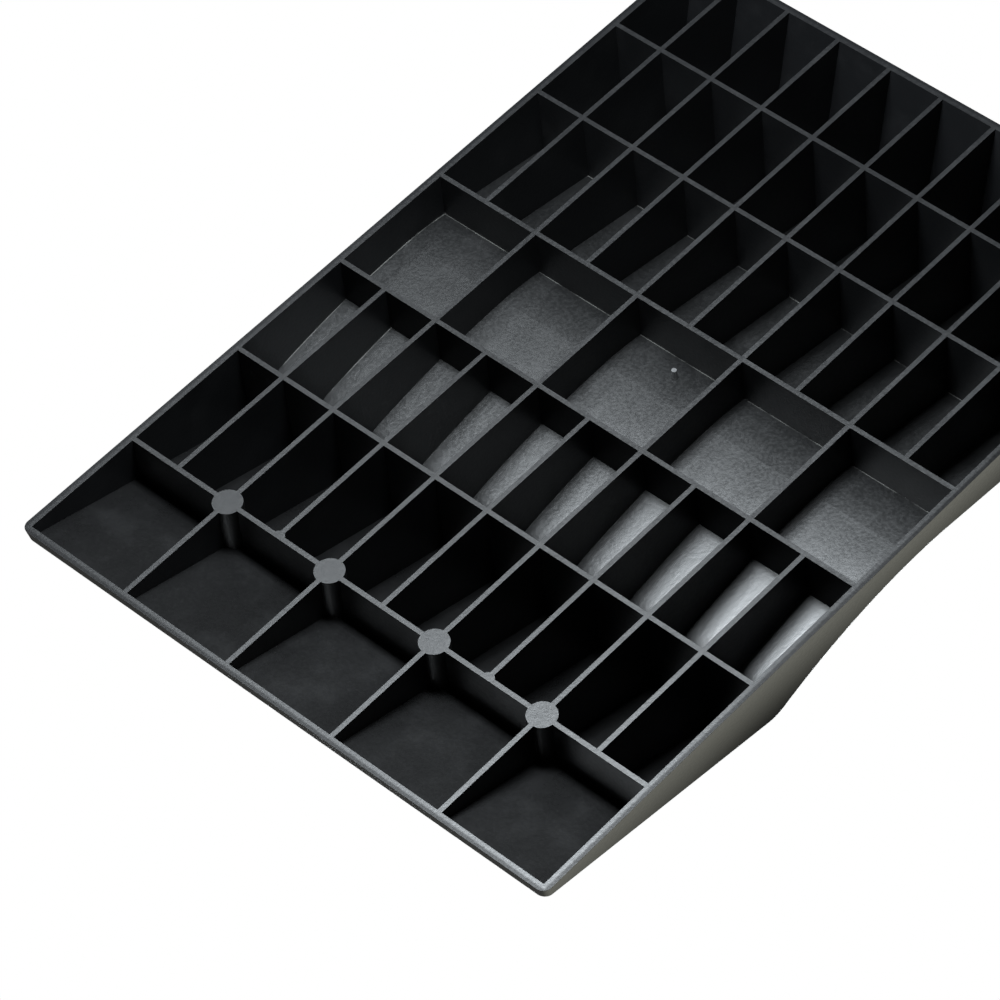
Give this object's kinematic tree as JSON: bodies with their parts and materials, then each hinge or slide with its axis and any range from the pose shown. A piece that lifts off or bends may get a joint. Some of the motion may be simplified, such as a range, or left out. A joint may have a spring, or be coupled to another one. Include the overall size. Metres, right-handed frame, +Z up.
{
  "type": "ramp leveler",
  "caption": "Wedge-shaped drive-on wheel leveler: a ramp, a crest, a wheel cradle between raised side cheeks and an end stop on top, an open rib grid below",
  "frame": {"origin": "middle of the base rectangle, on the plane of the rib rims that the leveler stands on", "axes": "+X from the thin toe edge, where the wheel drives on, to the tall end stop; +Y to the left when driving on; +Z up"},
  "size_m": [0.447, 0.305, 0.0578],
  "materials": {
    "moulded_body": "fine moulded grain, black",
    "grip_treads": "moulded black, slightly polished by tyres"
  },
  "bodies": {
    "root": {"cradle_deck": "moulded_body", "cradle_treads": "grip_treads", "crest_deck": "moulded_body", "cross_rib_1": "moulded_body", "cross_rib_2": "moulded_body", "cross_rib_3": "moulded_body", "cross_rib_4": "moulded_body", "cross_rib_5": "moulded_body", "cross_rib_6": "moulded_body", "ejector_pads": "moulded_body", "end_stop_deck": "moulded_body", "end_wall": "moulded_body", "entry_ramp_deck": "moulded_body", "entry_treads": "grip_treads", "front_half_rib_1": "moulded_body", "front_half_rib_2": "moulded_body", "front_half_rib_3": "moulded_body", "front_half_rib_4": "moulded_body", "front_half_rib_5": "moulded_body", "gate_vestige": "moulded_body", "left_side_wall": "moulded_body", "main_rib_1": "moulded_body", "main_rib_2": "moulded_body", "main_rib_3": "moulded_body", "main_rib_4": "moulded_body", "rear_half_rib_1": "moulded_body", "rear_half_rib_2": "moulded_body", "rear_half_rib_3": "moulded_body", "rear_half_rib_4": "moulded_body", "rear_half_rib_5": "moulded_body", "right_side_wall": "moulded_body", "rising_deck": "moulded_body", "rising_treads": "grip_treads", "support_boss_1": "moulded_body", "support_boss_2": "moulded_body", "support_boss_3": "moulded_body", "support_boss_4": "moulded_body", "toe_lip": "moulded_body", "toe_rib_1": "moulded_body", "toe_rib_2": "moulded_body", "toe_rib_3": "moulded_body", "toe_rib_4": "moulded_body"}
  },
  "joints": []
}
